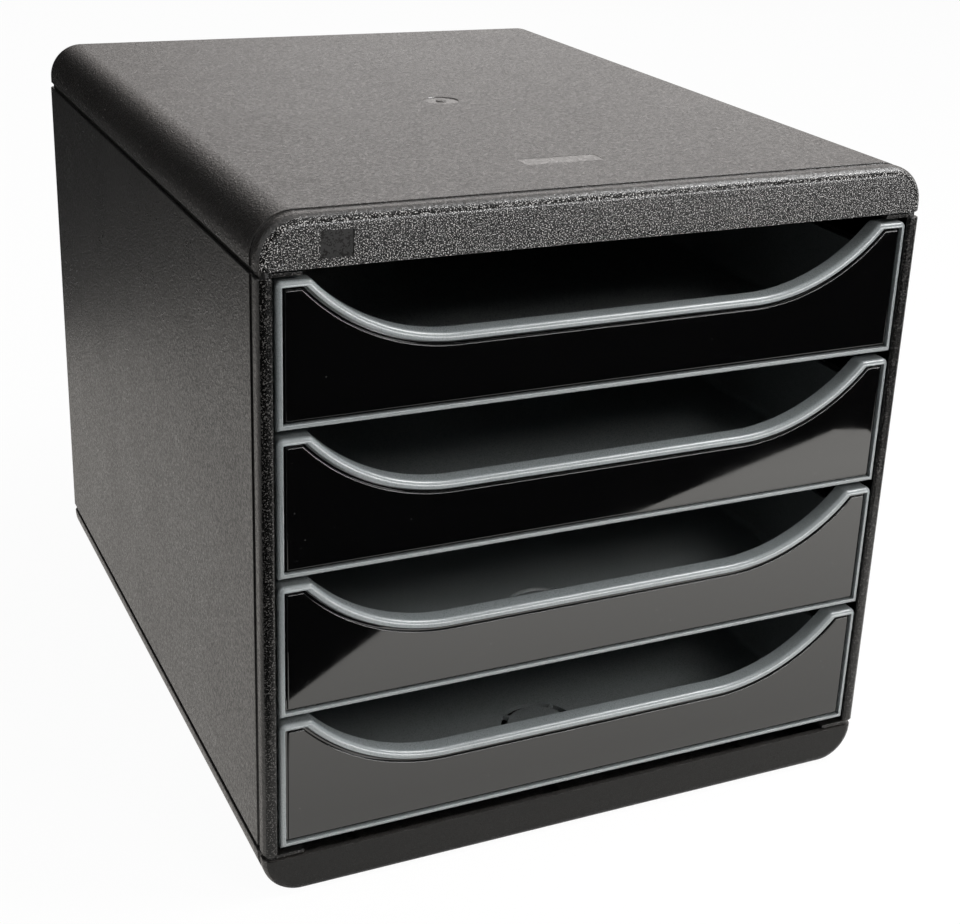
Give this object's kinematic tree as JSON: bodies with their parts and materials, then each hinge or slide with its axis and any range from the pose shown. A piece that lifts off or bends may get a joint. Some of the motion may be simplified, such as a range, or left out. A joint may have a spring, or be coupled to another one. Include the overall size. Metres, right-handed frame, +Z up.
{
  "type": "desktop drawer cabinet",
  "caption": "Desktop cabinet of stacked pull-out letter trays with swooped fronts and gloss inserts, in a rounded black housing for A4 papers.",
  "frame": {"origin": "centre of the footprint, on the desk", "axes": "+Z up, -Y towards the drawer fronts, +X to the right seen from the front"},
  "size_m": [0.278, 0.35, 0.2765],
  "materials": {
    "shell_black": "fine grain",
    "panel_black": "fine grain",
    "tray_blue": "satin",
    "insert_gloss": "high gloss",
    "foot_rubber": "matte"
  },
  "bodies": {
    "housing": {"top_cover": "shell_black", "base": "shell_black", "left_side": "panel_black", "right_side": "panel_black", "back_panel": "panel_black", "foot_front_left": "foot_rubber", "foot_front_right": "foot_rubber", "foot_rear_left": "foot_rubber", "foot_rear_right": "foot_rubber"},
    "drawer_1": {"drawer_1": "tray_blue", "front_insert_1": "insert_gloss"},
    "drawer_2": {"drawer_2": "tray_blue", "front_insert_2": "insert_gloss"},
    "drawer_3": {"drawer_3": "tray_blue", "front_insert_3": "insert_gloss"},
    "drawer_4": {"drawer_4": "tray_blue", "front_insert_4": "insert_gloss"}
  },
  "joints": [
    {"name": "drawer_1_slide", "type": "slide", "parent": "housing", "child": "drawer_1", "axis": [0, -1, 0], "range_m": [0, 0.255]},
    {"name": "drawer_2_slide", "type": "slide", "parent": "housing", "child": "drawer_2", "axis": [0, -1, 0], "range_m": [0, 0.255]},
    {"name": "drawer_3_slide", "type": "slide", "parent": "housing", "child": "drawer_3", "axis": [0, -1, 0], "range_m": [0, 0.255]},
    {"name": "drawer_4_slide", "type": "slide", "parent": "housing", "child": "drawer_4", "axis": [0, -1, 0], "range_m": [0, 0.255]}
  ]
}
